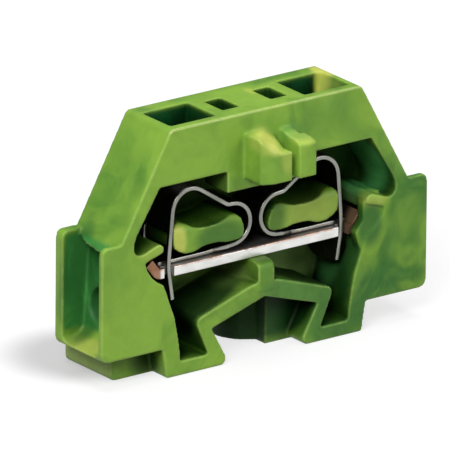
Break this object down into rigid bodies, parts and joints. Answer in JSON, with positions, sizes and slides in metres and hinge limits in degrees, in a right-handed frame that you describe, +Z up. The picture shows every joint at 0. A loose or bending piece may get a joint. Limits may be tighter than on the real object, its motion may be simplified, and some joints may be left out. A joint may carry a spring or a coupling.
{
  "type": "terminal block",
  "caption": "Single-pole terminal block, open on one side: moulded housing, current bar and leaf-spring clamps opened through the top.",
  "frame": {"origin": "middle of the length, in the plane of the open front face, at the level of the undersides of the feet", "axes": "+X along the block's length, +Y from the open front face towards the closed rear face, +Z up out of the feet"},
  "size_m": [0.038, 0.0128, 0.0247],
  "materials": {
    "marbled_plastic": "satin moulded polyamide, green and yellow mixed",
    "spring_steel": "bright rolled leaf",
    "tinned_copper": "tin plate with bare copper at the cut edges"
  },
  "bodies": {
    "block": {"housing": "marbled_plastic", "current_bar": "tinned_copper", "left_spring_seat": "spring_steel", "right_spring_seat": "spring_steel"},
    "left_arch": {"left_spring_arch": "spring_steel"},
    "left_leg": {"left_spring_window_leg": "spring_steel"},
    "right_arch": {"right_spring_arch": "spring_steel"},
    "right_leg": {"right_spring_window_leg": "spring_steel"}
  },
  "joints": [
    {"name": "left_clamp_press", "type": "hinge", "parent": "block", "child": "left_arch", "pos_m": [-0.00265, 0.00375, 0.01315], "axis": [0, -1, 0], "range_deg": [0, 17]},
    {"name": "left_leg_swing", "type": "hinge", "parent": "left_arch", "child": "left_leg", "pos_m": [-0.0099, 0.00375, 0.01579], "axis": [0, 1, 0], "range_deg": [0, 12.4]},
    {"name": "right_clamp_press", "type": "hinge", "parent": "block", "child": "right_arch", "pos_m": [0.00265, 0.00375, 0.01315], "axis": [0, 1, 0], "range_deg": [0, 17]},
    {"name": "right_leg_swing", "type": "hinge", "parent": "right_arch", "child": "right_leg", "pos_m": [0.0099, 0.00375, 0.01579], "axis": [0, -1, 0], "range_deg": [0, 12.4]}
  ],
  "couplings": [
    {"joint": "left_leg_swing", "follows": "left_clamp_press", "ratio": 0.726},
    {"joint": "right_leg_swing", "follows": "right_clamp_press", "ratio": 0.726}
  ]
}
